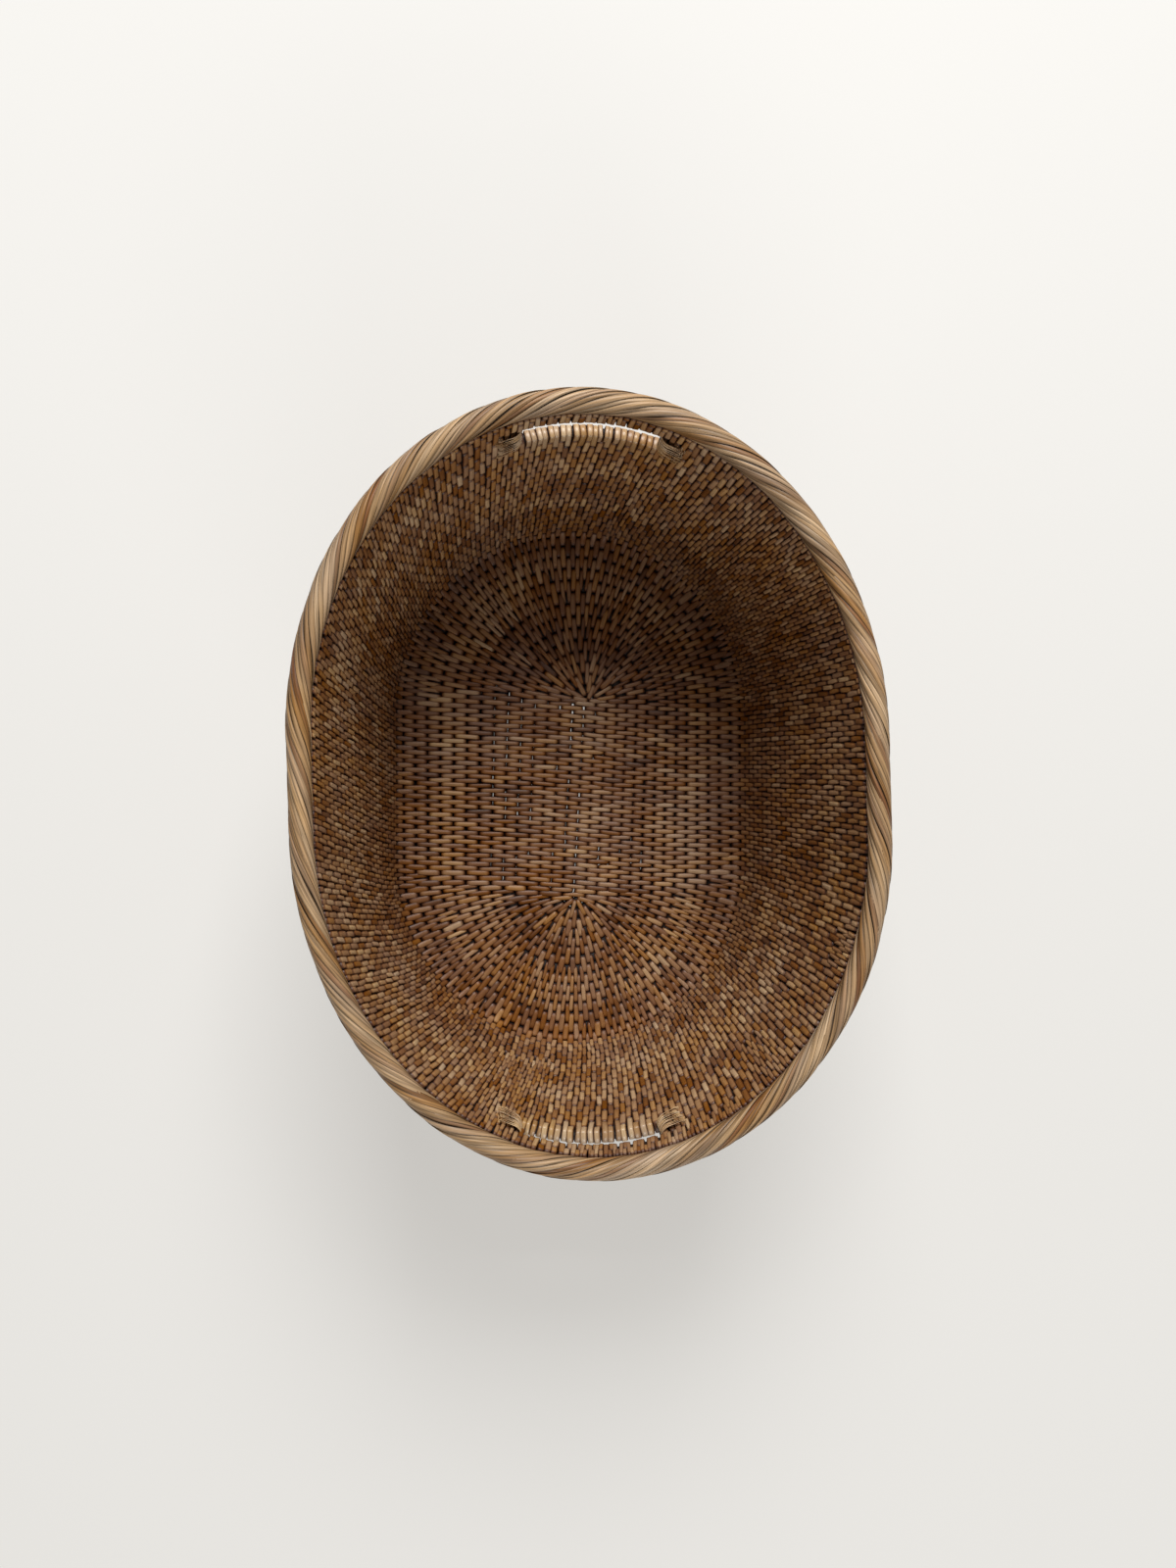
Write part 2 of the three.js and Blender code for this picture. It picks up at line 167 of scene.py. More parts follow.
@dataclass(frozen=True)
class BasketForm:
    """Shape that the coil follows, measured to the middle of the rods: flat floor, corner, leaning wall."""

    core_half_length: float = 85 * MM
    floor_half_width: float = 141 * MM
    floor_half_length: float = 211 * MM
    corner_radius: float = 12 * MM
    wall_height: float = 237 * MM
    top_half_width: float = 189 * MM
    top_half_length: float = 252 * MM
    top_straight_half: float = 33 * MM
    thickness: float = 10.4 * MM
    straight_share: float = 0.1
    core_twist: float = math.radians(-3.6)
    core_shift: tuple[float, float] = (9 * MM, -11 * MM)
    skew: float = -0.015
    small_step: float = 1e-5

    @cached_property
    def wall_run(self) -> tuple[float, float]:
        """How far the wall's top edge lies outwards and upwards from the middle of the corner's arc."""
        return self.top_half_width - self.floor_half_width, self.wall_height - self.corner_radius

    @cached_property
    def wall_length(self) -> float:
        """Length of the leaning wall along the profile."""
        out, up = self.wall_run
        return math.sqrt(out**2 + up**2 - self.corner_radius**2)

    @cached_property
    def bend_angle(self) -> float:
        """Angle that the profile turns through at the corner."""
        out, up = self.wall_run
        return math.pi / 2 - math.atan2(out, up) + math.atan2(self.corner_radius, self.wall_length)

    @cached_property
    def bend_length(self) -> float:
        """Length of the corner along the profile."""
        return self.corner_radius * self.bend_angle

    @cached_property
    def top_edge(self) -> float:
        """Length of the whole profile, from the middle of the floor to the wall's top edge."""
        return self.floor_half_width + self.bend_length + self.wall_length

    def profile(self, along: Array) -> tuple[Array, Array, Array]:
        """Follows the profile.

        Args:
            along: Length along the profile.

        Returns:
            The half-width, the height and the slope there.
        """
        bent = np.clip((along - self.floor_half_width) / self.corner_radius, 0, self.bend_angle)
        floor = np.minimum(along, self.floor_half_width)
        wall = np.maximum(along - self.floor_half_width - self.bend_length, 0)
        half_width = floor + self.corner_radius * np.sin(bent) + wall * np.cos(bent)
        height = self.corner_radius * (1 - np.cos(bent)) + wall * np.sin(bent)
        return half_width, height, bent

    def half_length(self, half_width: Array) -> Array:
        """Half-length of the oval that goes with a half-width.

        Args:
            half_width: Half-width of the oval.

        Returns:
            Its half-length.
        """
        on_floor = (self.floor_half_length - self.core_half_length) / self.floor_half_width
        on_wall = (self.top_half_length - self.floor_half_length) / self.wall_run[0]
        floor = np.minimum(half_width, self.floor_half_width)
        return self.core_half_length + floor * on_floor + (half_width - floor) * on_wall

    def oval(self, turns: Array) -> tuple[Array, Array, Array]:
        """Finds a place on a unit oval.

        Args:
            turns: Turns of the coil from its start.

        Returns:
            The places across it, round its end, and along its straight side.
        """
        turn = turns - np.floor(turns)
        side = np.where(turn < 0.5, 1.0, -1.0)
        in_half = np.where(turn < 0.5, turn, turn - 0.5)
        angle = math.pi * np.maximum(in_half - self.straight_share, 0) / (0.5 - self.straight_share)
        straight = 1 - 2 * np.minimum(in_half / self.straight_share, 1)
        return side * np.cos(angle), -side * np.sin(angle), side * straight

    def point(self, turns: Array, along: Array, inwards: Array | float = 0.0) -> Array:
        """Finds points of the basket.

        Args:
            turns: Turns of the coil from its start.
            along: Length along the profile.
            inwards: Distance inwards from the middle of the rods.

        Returns:
            One row of x, y and z for each point.
        """
        turns, along, inwards = np.broadcast_arrays(*np.atleast_1d(turns, along, inwards))
        half_width, height, slope = self.profile(along)
        across, end, straight = self.oval(turns)
        narrowing = (self.top_straight_half - self.core_half_length) / self.top_edge
        straight_half = self.core_half_length + narrowing * along
        cap = self.half_length(half_width) - straight_half
        outward = unit(np.stack([across * cap, end * half_width], axis=-1))
        level = inwards * np.sin(slope)
        x = half_width * across - outward[..., 0] * level
        y = straight_half * straight + cap * end - outward[..., 1] * level
        z = self.thickness / 2 + height + inwards * np.cos(slope)
        return self.worked_by_hand(np.stack([x, y, z], axis=-1), along)

    def worked_by_hand(self, points: Array, along: Array) -> Array:
        """Turns and shifts the middle of the floor and skews the wall a little, as the maker's hand did.

        Args:
            points: One row of x, y and z for each point.
            along: Length along the profile at each point.

        Returns:
            The moved points.
        """
        inner = np.clip(1 - along / self.floor_half_width, 0, 1)
        fade = inner * inner * (3 - 2 * inner)
        angle = self.core_twist * fade
        x = points[..., 0] * np.cos(angle) - points[..., 1] * np.sin(angle) + self.core_shift[0] * fade
        y = points[..., 0] * np.sin(angle) + points[..., 1] * np.cos(angle) + self.core_shift[1] * fade
        climb = np.clip((along - self.floor_half_width) / (self.top_edge - self.floor_half_width), 0, 1)
        stretch = 1 + self.skew * climb * 2 * x * y / np.maximum(x * x + y * y, TINY)
        return np.stack([x * stretch, y * stretch, points[..., 2]], axis=-1)

    def directions(self, turns: Array, along: Array) -> tuple[Array, Array, Array]:
        """Finds how a point moves.

        Args:
            turns: Turns of the coil from its start.
            along: Length along the profile.

        Returns:
            Its moves with the turns, with the length along the profile, and inwards.
        """
        step = self.small_step
        by_turns = (self.point(turns + step, along) - self.point(turns - step, along)) / (2 * step)
        by_along = (self.point(turns, along + step) - self.point(turns, along - step)) / (2 * step)
        by_inwards = (self.point(turns, along, step) - self.point(turns, along, -step)) / (2 * step)
        return by_turns, by_along, by_inwards

    def slant(self, turns: Array, along: Array) -> Array:
        """Sideways distance by length along the profile, on a line square to the rods."""
        by_turns, by_along, _ = self.directions(turns, along)
        return -(by_turns * by_along).sum(axis=1) / np.maximum(np.linalg.norm(by_turns, axis=1), TINY)


@dataclass(frozen=True)
class Coil:
    """The rod's path over the form, and the hand slots that interrupt it."""

    form: BasketForm
    whole_turns: int = 38
    settling_turns: float = 5.0
    settling_share: float = 0.25
    rod_width: float = 11.6 * MM
    rod_height: float = 9.0 * MM
    rod_step: float = 11 * MM
    slot_length: float = 97 * MM
    slot_turns: int = 2
    turns_above_slot: int = 1
    binding_length: float = 17 * MM

    @cached_property
    def turns(self) -> float:
        """Turns of the coil up to the wall's top edge."""
        return self.whole_turns + End.REAR.value - 0.5

    @cached_property
    def pitch(self) -> float:
        """Distance from one turn to the next."""
        return self.form.top_edge / self.turns

    @cached_property
    def first_cut(self) -> int:
        """The lowest turn that the slots cut."""
        return self.whole_turns - self.turns_above_slot - self.slot_turns

    def middle(self, turns: Array | float) -> Array | float:
        """Length along the profile to the middle of the rod. The first rod lies beside the middle line."""
        return self.pitch * (turns + self.settling_share * np.maximum(1 - turns / self.settling_turns, 0))

    def joint(self, turns: Array | float) -> Array | float:
        """Length along the profile to the joint between a turn and the one before it."""
        return self.middle(turns) - self.pitch / 2

    def share_from_slot(self, distance: float) -> float:
        """Share of a turn that goes with a distance from the middle of a slot.

        Args:
            distance: Distance along the coil.

        Returns:
            The share.
        """
        along = self.form.top_edge - self.pitch * (self.turns_above_slot + self.slot_turns / 2)
        half_width = self.form.profile(np.array(along))[0]
        return math.asin(distance / half_width) / math.pi * (0.5 - self.form.straight_share)

    @cached_property
    def slot_edge(self) -> float:
        """Share of a turn from a slot's middle to its end."""
        return self.share_from_slot(self.slot_length / 2)

    def stretches(self) -> list[tuple[float, float]]:
        """The unbroken stretches of the coil, in turns.

        Returns:
            The start and the end of each.
        """
        cuts = sorted(n + self.first_cut + end.value for n in range(self.slot_turns) for end in End)
        starts = [0.0] + [cut + self.slot_edge for cut in cuts]
        ends = [cut - self.slot_edge for cut in cuts] + [self.turns]
        return list(zip(starts, ends))


class Recipe:
    """A Geometry Nodes tree with named inputs, and the way it is run on a mesh."""

    def __init__(self, name: str, inputs: dict[str, str], reads: dict[str, str]) -> None:
        """Starts the tree.

        Args:
            name: The tree's name.
            inputs: For each named input, its socket type.
            reads: For each attribute that the tree reads, its data type.
        """
        self.tree = bpy.data.node_groups.new(name, "GeometryNodeTree")
        self.add = partial(add_node, self.tree)
        new_socket = self.tree.interface.new_socket
        self.sockets = {
            label: new_socket(label, in_out="INPUT", socket_type=f"NodeSocket{kind}")
            for label, kind in {"Geometry": "Geometry", **inputs, "Material": "Material"}.items()
        }
        new_socket("Geometry", in_out="OUTPUT", socket_type="NodeSocketGeometry")
        self.given = self.add("NodeGroupInput").outputs
        self.read = {
            label: self.add("GeometryNodeInputNamedAttribute", (label,), data_type=kind)
            for label, kind in reads.items()
        }

    def finish(self, geometry: Node) -> None:
        """Ends the tree with smooth shading, real geometry and the material.

        Args:
            geometry: Makes what the tree gives out.
        """
        smooth = self.add("GeometryNodeSetShadeSmooth", (geometry,))
        real = self.add("GeometryNodeRealizeInstances", (smooth,))
        dressed = self.add("GeometryNodeSetMaterial", {"Geometry": real, "Material": self.given["Material"]})
        self.add("NodeGroupOutput", (dressed,))

    def grow(self, name: str, start: Mesh, values: dict[str, object]) -> Piece:
        """Runs the tree on a mesh and keeps the result as a plain mesh.

        Args:
            name: The new piece's name.
            start: The mesh that the tree starts from.
            values: A value for each named input.

        Returns:
            The finished object, at the origin.
        """
        piece = add_object(name, start)
        modifier = piece.modifiers.new("recipe", "NODES")
        modifier.node_group = self.tree
        for label, value in values.items():
            modifier[self.sockets[label].identifier] = value
        depsgraph = bpy.context.evaluated_depsgraph_get()
        grown = piece.evaluated_get(depsgraph)
        mesh = bpy.data.meshes.new_from_object(grown, preserve_all_data_layers=True, depsgraph=depsgraph)
        piece.modifiers.remove(modifier)
        piece.data = mesh
        mesh.name = name
        bpy.data.meshes.remove(start)
        return piece


@dataclass
class FormSurface:
    """The form as a fine sheet, on which strips are laid by their place in a turn and along the profile."""

    form: BasketForm
    turn_steps: int = 360
    row_length: float = 2 * MM
    margin_share: float = 0.08
    margin: float = 16 * MM

    def build(self) -> Piece:
        """Makes the sheet, with its places as a UV map and its directions as attributes.

        Returns:
            The sheet, in the shape of the basket.
        """
        shares = np.linspace(-self.margin_share, 1 + self.margin_share, self.turn_steps + 1)
        length = self.form.top_edge + 2 * self.margin
        rows = np.linspace(-self.margin, self.form.top_edge + self.margin, round(length / self.row_length))
        turns, along = (grid.ravel() for grid in np.meshgrid(shares, rows))
        by_turns, _, by_inwards = self.form.directions(turns, along)
        columns = len(shares)
        corner = np.arange((len(rows) - 1) * columns).reshape(-1, columns)[:, :-1].ravel()
        faces = np.stack([corner, corner + 1, corner + columns + 1, corner + columns], axis=1)
        points = self.form.point(turns, along)
        mesh = plain_mesh("form", points, faces=faces, sideways=unit(by_turns), inward=by_inwards)
        places = mesh.uv_layers.new(name="place")
        places.data.foreach_set("uv", np.stack([turns, along], axis=1)[faces.ravel()].ravel())
        return add_object("form", mesh)


class LashingRecipe(Recipe):
    """Puts a strip at each place, bends it over the form and gives each its own lean, roll and height."""

    def __init__(self) -> None:
        """Builds the tree."""
        objects = dict.fromkeys(("Strip", "Form"), "Object")
        spreads = dict.fromkeys(("Lean spread", "Roll spread", "Height spread"), "Float")
        numbers = dict.fromkeys(("breadth", "reach", "lean"), "FLOAT")
        vectors = dict.fromkeys(("seat", "place", "sideways", "inward"), "FLOAT_VECTOR")
        inputs, reads = {**objects, **spreads, "Seed": "Int"}, {**numbers, **vectors, "number": "INT"}
        super().__init__("lay strips on the form", inputs, reads)
        add, given = self.add, self.given
        seated = add(
            "GeometryNodeStoreNamedAttribute",
            {"Geometry": given["Geometry"], "Name": "seat", "Value": add("GeometryNodeInputPosition")},
            data_type="FLOAT_VECTOR",
            domain="POINT",
        )
        lowest = add("ShaderNodeMath", (1.0, given["Height spread"]), operation="SUBTRACT")
        back = add("ShaderNodeMath", (given["Roll spread"], -1.0), operation="MULTIPLY")
        height, roll = (
            add("FunctionNodeRandomValue", {2: least, 3: most, "Seed": given["Seed"]}, data_type="FLOAT")
            for least, most in ((lowest, 1.0), (back, given["Roll spread"]))
        )
        size = (self.read["breadth"], self.read["reach"], height)
        placed = add(
            "GeometryNodeInstanceOnPoints",
            {
                "Points": seated,
                "Instance": add("GeometryNodeObjectInfo", {"Object": given["Strip"]}).outputs["Geometry"],
                "Rotation": add("ShaderNodeCombineXYZ", (0.0, roll)),
                "Scale": add("ShaderNodeCombineXYZ", size),
            },
        )
        self.finish(self.laid_on_form(add("GeometryNodeRealizeInstances", (placed,))))

    def laid_on_form(self, strips: Node) -> Node:
        """Moves the strips' points from their places in a turn and along the profile to the form.

        Args:
            strips: Makes strips that stand at their places, in metres across, along and inwards.

        Returns:
            The node that makes the same strips, bent over the form.
        """
        add, given, read = self.add, self.given, self.read
        position, seat = add("GeometryNodeInputPosition"), read["seat"]
        own = add("ShaderNodeVectorMath", (position, seat), operation="SUBTRACT")
        across, along, inwards = add("ShaderNodeSeparateXYZ", (own,)).outputs
        around = (read["lean"], given["Lean spread"])
        least, most = (add("ShaderNodeMath", around, operation=name) for name in ("SUBTRACT", "ADD"))
        own_range = {2: least, 3: most, "ID": read["number"], "Seed": given["Seed"]}
        lean = add("FunctionNodeRandomValue", own_range, data_type="FLOAT")
        sideways = add("ShaderNodeMath", (along, lean, across), operation="MULTIPLY_ADD")
        offset = add("ShaderNodeCombineXYZ", (0.0, along))
        uv = add("ShaderNodeVectorMath", (seat, offset), operation="ADD")
        form = add("GeometryNodeObjectInfo", {"Object": given["Form"]}).outputs["Geometry"]
        found, *ways = (
            add(
                "GeometryNodeSampleUVSurface",
                {"Mesh": form, "Value": source, "UV Map": read["place"], "Sample UV": uv},
                data_type="FLOAT_VECTOR",
            )
            for source in (position, read["sideways"], read["inward"])
        )
        for way, distance in zip(ways, (sideways, inwards)):
            step = add("ShaderNodeVectorMath", {0: way, "Scale": distance}, operation="SCALE")
            found = add("ShaderNodeVectorMath", (found, step), operation="ADD")
        return add("GeometryNodeSetPosition", {"Geometry": strips, "Position": found})


class SweepRecipe(Recipe):
    """Sweeps a flat or round section along paths, facing the way that each path's points say."""

    def __init__(self) -> None:
        """Builds the tree."""
        inputs = {"Width": "Float", "Thickness": "Float", "Sides": "Int"}
        super().__init__("sweep along paths", inputs, {"facing": "FLOAT_VECTOR", "girth": "FLOAT"})
        add, given, read = self.add, self.given, self.read
        paths = add("GeometryNodeMeshToCurve", {"Mesh": given["Geometry"]})
        turned = add("GeometryNodeSetCurveNormal", {"Curve": paths, "Normal": read["facing"]}, mode="FREE")
        circle = add("GeometryNodeCurvePrimitiveCircle", {"Resolution": given["Sides"], "Radius": 0.5})
        size = add("ShaderNodeCombineXYZ", (given["Thickness"], given["Width"]))
        section = add("GeometryNodeTransform", {"Geometry": circle, "Scale": size})
        across = add("ShaderNodeSeparateXYZ", (add("GeometryNodeInputPosition"),)).outputs["Y"]
        marked = add(
            "GeometryNodeStoreNamedAttribute",
            {"Geometry": section, "Name": "across", "Value": across},
            data_type="FLOAT",
            domain="POINT",
        )
        whole = {"Curve": turned, "Profile Curve": marked, "Scale": read["girth"], "Fill Caps": True}
        self.finish(add("GeometryNodeCurveToMesh", whole))


@dataclass
class Path:
    """A line that a rod or strip follows."""

    points: Array
    facing: Array
    girth: Array | float = 1.0
    tone: float = 0.5
    shade: float = 0.5
    closed: bool = False


def path_mesh(name: str, paths: list[Path]) -> Mesh:
    """Joins paths into one mesh of edges, with what the sweep and the finish read as attributes.

    Args:
        name: The mesh's name.
        paths: The lines of all the rods or strips.

    Returns:
        The new mesh.
    """
    edges, start = [], 0
    for path in paths:
        count = len(path.points)
        first = start + np.arange(count if path.closed else count - 1)
        edges.append(np.stack([first, start + (first - start + 1) % count], axis=1))
        start += count
    counts = [len(path.points) for path in paths]
    girth = [np.broadcast_to(path.girth, count) for path, count in zip(paths, counts)]
    return plain_mesh(
        name,
        np.concatenate([path.points for path in paths]),
        edges=np.concatenate(edges),
        facing=np.concatenate([path.facing for path in paths]),
        girth=np.concatenate(girth),
        along=np.concatenate([run_along(path.points) for path in paths]),
        tone=np.repeat([path.tone for path in paths], counts),
        shade=np.repeat([path.shade for path in paths], counts),
    )


# For each piece, its paths and its section's width, thickness and number of sides
Plans = dict[str, tuple[list[Path], float, float, int]]


@dataclass
class Swept:
    """Rods or strips of the basket that are swept along their own paths."""

    coil: Coil

    def plans(self) -> Plans:
        """The pieces to make."""
        raise NotImplementedError

    def build(self, sweep: SweepRecipe, material: Material) -> dict[str, Piece]:
        """Makes the pieces.

        Args:
            sweep: Sweeps a section along paths.
            material: The material of the rods or strips.

        Returns:
            The pieces by name.
        """
        pieces = {}
        for name, (paths, width, thickness, sides) in self.plans().items():
            values = {"Width": width, "Thickness": thickness, "Sides": sides, "Material": material}
            pieces[name] = sweep.grow(name, path_mesh(name, paths), values)
        return pieces


@dataclass(frozen=True)
class Mottle:
    """An uneven pattern: the size of its patches, and how fine and how strong its detail is."""

    size: float
    detail: float
    roughness: float

    def at(self, place: Node | Socket) -> dict[str, object]:
        """What a noise node is fed with to show the pattern at a place."""
        return {"Vector": place, "Scale": 1 / self.size, "Detail": self.detail, "Roughness": self.roughness}


@dataclass(frozen=True)
class RattanFinish:
    """Rattan in strips or rods: fibres along it, its own tone for each strip, and painted shade with some
    dirt at its edges and ends.

    The eye sees long streaks, a satin face where the skin is left on, and sides darkened by painted shade.
    """

    name: str
    tones: tuple[str, str, str, str]
    roughness: float
    # Real fibres are too fine to show in the render, so they are drawn coarser
    fibre_width: float = 0.45 * MM
    fibre_length: float = 14 * MM
    # The size is in fibre widths and lengths here, and in metres in the patterns below
    fibre: Mottle = Mottle(1.0, 3.0, 0.6)
    fibre_range: tuple[float, float] = (0.3, 0.65)
    own_fibres: float = 97.0
    streak_shade: float = 0.68
    streak_light: float = 1.1
    patch: Mottle = Mottle(60 * MM, 3.0, 0.55)
    patch_range: tuple[float, float] = (0.3, 0.7)
    patch_tone: float = 0.12
    dust: Mottle = Mottle(80 * MM, 4.0, 0.6)
    dust_range: tuple[float, float] = (0.35, 0.65)
    dust_strength: float = 0.16
    dust_spread: float = 0.6
    # The edges and the ends are darkened as painted shade, with some dirt, where a strip meets its neighbours
    # and goes down between the rods
    half_width: float = 2.0 * MM
    edge_start: float = 0.5
    edge_shade: float = 0.16
    end_start: float = 6.3 * MM
    end_full: float = 9.2 * MM
    end_shade: float = 1.0
    # Powers for red, green and blue that turn the streaks and the painted shade redder
    warmth: tuple[float, float, float] = (0.76, 1.0, 1.18)
    gloss: float = 0.12
    gloss_roughness: float = 0.35
    ior: float = 1.4
    bump: float = 0.35
    bump_height: float = 0.3 * MM

    def build(self) -> Material:
        """Makes the material.

        Returns:
            The new material.
        """
        material = bpy.data.materials.new(self.name)
        material.use_nodes = True
        tree = material.node_tree
        add = partial(add_node, tree)
        shader = tree.nodes["Principled BSDF"].inputs
        shader["Roughness"].default_value = self.roughness
        shader["IOR"].default_value = self.ior
        shader["Coat Weight"].default_value = self.gloss
        shader["Coat Roughness"].default_value = self.gloss_roughness
        read = {
            label: add("ShaderNodeAttribute", attribute_name=label).outputs["Fac"]
            for label in ("across", "along", "tone", "shade")
        }
        # Streaks that run along the strip, other ones on each strip
        scales = {"across": 1 / self.fibre_width, "along": 1 / self.fibre_length, "shade": self.own_fibres}
        parts = [
            add("ShaderNodeMath", (read[label], scale), operation="MULTIPLY")
            for label, scale in scales.items()
        ]
        fibres = add("ShaderNodeTexNoise", self.fibre.at(add("ShaderNodeCombineXYZ", parts)))
        colour = self.colour(add, read, self.shading(add, read, fibres))
        bump = {"Strength": self.bump, "Distance": self.bump_height, "Height": fibres}
        tree.links.new(colour.outputs[0], shader["Base Color"])
        tree.links.new(add("ShaderNodeBump", bump).outputs[0], shader["Normal"])
        return material

    def shading(self, add: NodeAdder, read: dict[str, Socket], fibres: Node) -> Node:
        """Darkens by the fibres, and by painted shade with some dirt along the edges and at the ends.

        Args:
            add: Adds a node to the material.
            read: The strip's attributes.
            fibres: The node that gives the streaks.

        Returns:
            The node that gives the share of light left, 1 where nothing is darkened.
        """
        shade = add("ShaderNodeMapRange", (fibres, *self.fibre_range, self.streak_shade, self.streak_light))
        # Painted shade with some dirt: darker towards the strip's edges and towards its ends
        for label, start, full, darkest in (
            ("across", self.edge_start * self.half_width, self.half_width, self.edge_shade),
            ("along", self.end_start, self.end_full, self.end_shade),
        ):
            away = add("ShaderNodeMath", (read[label],), operation="ABSOLUTE")
            reach = (away, start, full, 1.0, darkest)
            shade_and_grime = add("ShaderNodeMapRange", reach, interpolation_type="SMOOTHSTEP")
            shade = add("ShaderNodeMath", (shade, shade_and_grime), operation="MULTIPLY")
        return shade

    def colour(self, add: NodeAdder, read: dict[str, Socket], shade: Node) -> Node:
        """Colours by the strip's tone, with patches where the basket has darkened with age, and with dust.

        Args:
            add: Adds a node to the material.
            read: The strip's attributes.
            shade: The node that gives the share of light left.

        Returns:
            The node that gives the colour.
        """
        place = add("ShaderNodeTexCoord").outputs["Object"]
        patch = add("ShaderNodeTexNoise", self.patch.at(place))
        patchy = add("ShaderNodeMapRange", (patch, *self.patch_range, -self.patch_tone, self.patch_tone))
        ramp = add("ShaderNodeValToRGB", (add("ShaderNodeMath", (read["tone"], patchy), operation="ADD"),))
        stops = ramp.color_ramp.elements
        while len(stops) < len(self.tones):
            stops.new(0.5)
        for i, (stop, tone_colour) in enumerate(zip(stops, self.tones)):
            stop.position = i / (len(self.tones) - 1)
            stop.color = linear(tone_colour)
        powers = [add("ShaderNodeMath", (shade, power), operation="POWER") for power in self.warmth]
        warm = add("ShaderNodeCombineColor", powers)
        shaded = add("ShaderNodeMix", {0: 1.0, 6: ramp, 7: warm}, data_type="RGBA", blend_type="MULTIPLY")
        dust = add("ShaderNodeTexNoise", self.dust.at(place))
        own_dust = add("ShaderNodeMath", (read["shade"], self.dust_spread, dust), operation="MULTIPLY_ADD")
        least, most = self.dust_range
        strengths = (1 + self.dust_strength, 1 - self.dust_strength)
        dusty = add("ShaderNodeMapRange", (own_dust, least, most + self.dust_spread, *strengths))
        return add("ShaderNodeHueSaturation", {"Saturation": dusty, "Color": shaded})


# Split rattan with its skin on, aged: tan to reddish brown, satin, with strong painted shade at the ends of
# each stitch
LASHING_STRIP = RattanFinish(
    "split_rattan_lashing", ("5E3819", "885A32", "AE865C", "CBAC83"), 0.48, end_shade=0.14
)
# The same strip worn smooth by hands: paler and glossier
WORN_STRIP = RattanFinish("hand_worn_rattan_strip", ("7C5734", "9E774F", "BE9C72", "DABF98"), 0.36, gloss=0.5)
# Wider peeled strips of the rim: light straw with a few reddish ones and long dark streaks, and painted shade
# along their edges
RIM_STRIP = RattanFinish(
    "peeled_rattan_rim_strip",
    ("77492F", "A07850", "B7946D", "CBAC88"),
    0.5,
    fibre_width=1.0 * MM,
    fibre_length=40 * MM,
    streak_shade=0.36,
    half_width=2.1 * MM,
    edge_start=0.6,
    edge_shade=0.25,
    warmth=(1.0, 1.0, 1.0),
)
# Round rods inside the coil, dull and seen only between the strips: near-black brown, as painted shade in the
# gaps
SHADED_COIL_ROD = RattanFinish("round_rattan_rod", ("120803", "1E0F06", "2D190B", "412814"), 0.65, gloss=0.0)


@dataclass
class CoilRods(Swept):
    """The round rods of the coil, laid turn on turn and cut at the hand slots.

    In the middle of the floor they are a little thinner, and points of light come through between them.
    """

    sides: int = 8
    steps_per_turn: int = 400
    floor_turns: float = 14.0
    wall_girth_from: float = 14.5
    wall_girth: float = 0.87
    slot_girth: float = 0.75
    thin_girth: float = 0.48
    thin_turns: tuple[float, float] = (4.5, 9.5)
    round_end_gain: float = 5.0
    least_gain: float = 0.05
    least_tuck: float = 0.3
    seed: int = 11

    def paths(self, first: float, last: float) -> list[Path]:
        """Lays the rods between two places on the coil.

        Args:
            first: The lower place, in turns.
            last: The upper place, in turns.

        Returns:
            A path for each unbroken stretch, tucked in under the rim at the top.
        """
        form, coil, found = self.coil.form, self.coil, []
        for start, end in coil.stretches():
            start, end = max(start, first), min(end, last)
            if start >= end:
                continue
            fine = np.linspace(start, end, round((end - start) * self.steps_per_turn) + 2)
            run = run_along(form.point(fine, coil.middle(fine)))
            even = np.linspace(0, run[-1], round(run[-1] / coil.rod_step) + 2)
            turns = np.interp(even, run, fine)
            along = coil.middle(turns)
            tuck = np.clip((form.top_edge - along) / (coil.pitch / 2), self.least_tuck, 1)
            line = form.point(turns, along - (1 - tuck) * coil.pitch / 2)
            found.append(Path(line, form.directions(turns, along)[2], girth=tuck * self.girth(turns)))
        return found

    def girth(self, turns: Array) -> Array:
        """Thickness of the rods, less in the middle of the floor and beside the hand slots.

        Args:
            turns: Turns of the coil from its start.

        Returns:
            Shares of the full thickness.
        """
        coil = self.coil
        uneven = np.random.default_rng(self.seed).random(len(turns))
        round_end = np.abs(coil.form.oval(turns)[1])
        outer = np.interp(turns, self.thin_turns, (0, 1))
        full = np.clip(outer + self.round_end_gain * round_end + uneven + self.least_gain, 0, 1)
        on_floor = self.thin_girth + (1 - self.thin_girth) * full
        girth = np.where(turns < self.wall_girth_from, on_floor, self.wall_girth)
        for end in End:
            for level in (-1, coil.slot_turns):
                away = np.abs(turns - end.value - coil.first_cut - level)
                girth = np.where(away < coil.slot_edge, self.slot_girth, girth)
        return girth

    def plans(self) -> Plans:
        """The rods of the floor and those of the wall.

        Returns:
            The two pieces to make.
        """
        floor, wall = self.paths(0.0, self.floor_turns), self.paths(self.floor_turns, self.coil.turns)
        size = (self.coil.rod_width, self.coil.rod_height, self.sides)
        return {"floor_coil_rods": (floor, *size), "wall_coil_rods": (wall, *size)}


